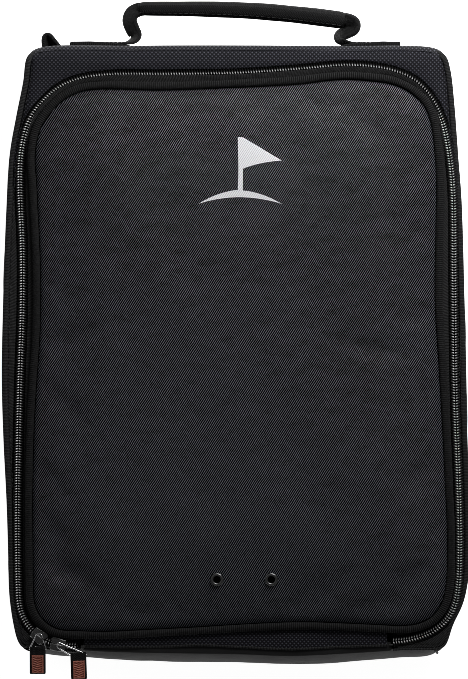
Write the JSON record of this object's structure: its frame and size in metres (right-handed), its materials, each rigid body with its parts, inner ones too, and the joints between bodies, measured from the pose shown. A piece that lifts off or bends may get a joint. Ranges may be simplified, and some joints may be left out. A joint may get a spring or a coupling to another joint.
{
  "type": "golf shoe bag",
  "caption": "Soft zipped shoe bag with a padded fold-down front lid, vent eyelets, two-way coil zip and a webbing carrying handle.",
  "frame": {"origin": "on the outer face of the back panel, which the bag lies on, near its middle", "axes": "+Z out of the front, +Y towards the carrying handle, +X to the right as seen from the front"},
  "size_m": [0.2804, 0.4078, 0.1235],
  "materials": {
    "coated_fabric": "plain black polyester with a coated back",
    "dobby_fabric": "black dobby with small raised dots",
    "twill_fabric": "shiny black diagonal twill",
    "grosgrain": "matt black ribbed binding",
    "lining": "plain dark lining",
    "foam": "closed-cell foam sheet",
    "zip_tape": "black herringbone tape",
    "zip_coil": "black nylon coil",
    "webbing": "black webbing",
    "gunmetal": "gunmetal plated",
    "bright_wire": "nickel plated",
    "red_rubber": "ribbed red-brown rubber",
    "print": "pale silver-grey print"
  },
  "bodies": {
    "bag": {"back_panel": "coated_fabric", "back_stiffener": "foam", "back_seam_binding": "grosgrain", "left_gusset": "coated_fabric", "right_gusset": "coated_fabric", "top_gusset": "dobby_fabric", "bottom_gusset": "coated_fabric", "left_edge_binding": "grosgrain", "right_edge_binding": "grosgrain", "left_facing": "coated_fabric", "right_facing": "coated_fabric", "front_yoke": "dobby_fabric", "body_zip_tape": "zip_tape", "body_zip_coil": "zip_coil", "zip_end_stop_left": "zip_coil", "zip_end_stop_right": "zip_coil", "hinge_strip_body": "dobby_fabric", "handle_anchor_left": "webbing", "handle_anchor_right": "webbing", "loop_tab": "webbing"},
    "lid": {"lid_panel": "twill_fabric", "lid_foam": "foam", "lid_lining": "lining", "lid_border": "grosgrain", "lid_zip_tape": "zip_tape", "lid_zip_coil": "zip_coil", "hinge_strip_lid": "dobby_fabric", "left_eyelet": "gunmetal", "right_eyelet": "gunmetal", "left_eyelet_washer": "gunmetal", "right_eyelet_washer": "gunmetal", "front_print": "print"},
    "slider_one": {"slider_1": "gunmetal"},
    "pull_one": {"pull_1_link": "bright_wire", "pull_1_tape": "webbing", "pull_1_insert": "red_rubber"},
    "slider_two": {"slider_2": "gunmetal"},
    "pull_two": {"pull_2_link": "bright_wire", "pull_2_tape": "webbing", "pull_2_insert": "red_rubber"},
    "handle": {"handle_strap_left": "webbing", "handle_strap_right": "webbing", "handle_grip": "webbing", "handle_core": "webbing"}
  },
  "joints": [
    {"name": "lid_hinge", "type": "hinge", "parent": "bag", "child": "lid", "pos_m": [0, -0.1775, 0.11745], "axis": [1, 0, 0], "range_deg": [0, 180]},
    {"name": "slider_1_travel", "type": "hinge", "parent": "bag", "child": "slider_one", "pos_m": [-0.1, -0.148, 0.113], "axis": [0, 0, 1], "range_deg": [-54, 0]},
    {"name": "pull_1_swing", "type": "hinge", "parent": "slider_one", "child": "pull_one", "pos_m": [-0.11763, -0.17227, 0.11805], "axis": [-0.809, 0.5878, 0], "range_deg": [0, 150]},
    {"name": "slider_2_travel", "type": "hinge", "parent": "bag", "child": "slider_two", "pos_m": [-0.1, -0.148, 0.113], "axis": [0, 0, 1], "range_deg": [-4, 15]},
    {"name": "pull_2_swing", "type": "hinge", "parent": "slider_two", "child": "pull_two", "pos_m": [-0.10644, -0.1773, 0.1171], "axis": [-0.3322, -0.9432, 0], "range_deg": [0, 150]},
    {"name": "handle_swing", "type": "hinge", "parent": "bag", "child": "handle", "pos_m": [0, 0.1885, 0.0645], "axis": [1, 0, 0], "range_deg": [-75, 75]}
  ]
}
